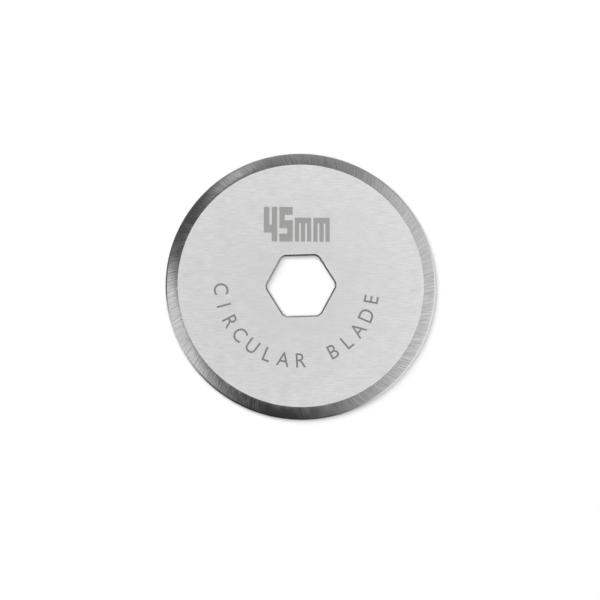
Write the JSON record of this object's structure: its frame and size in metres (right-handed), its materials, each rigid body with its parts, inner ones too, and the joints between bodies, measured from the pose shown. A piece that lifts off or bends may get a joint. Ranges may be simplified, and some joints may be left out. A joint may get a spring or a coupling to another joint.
{
  "type": "rotary cutter blade",
  "caption": "Round cutting blade for a hand-held fabric cutter: thin steel disc, six-sided drive hole, bevel-ground edge all round.",
  "frame": {"origin": "middle of the drive hole on the lower face, which is the face the blade rests on", "axes": "+Z out of the marked face along the blade's axis, +X through a corner of the six-sided hole, +Y square to two of its sides"},
  "size_m": [0.045, 0.045, 0.0003],
  "materials": {
    "blade_steel": "straight-grained strip on the flats, radially ground bevel"
  },
  "bodies": {
    "root": {"blade": "blade_steel"}
  },
  "joints": []
}
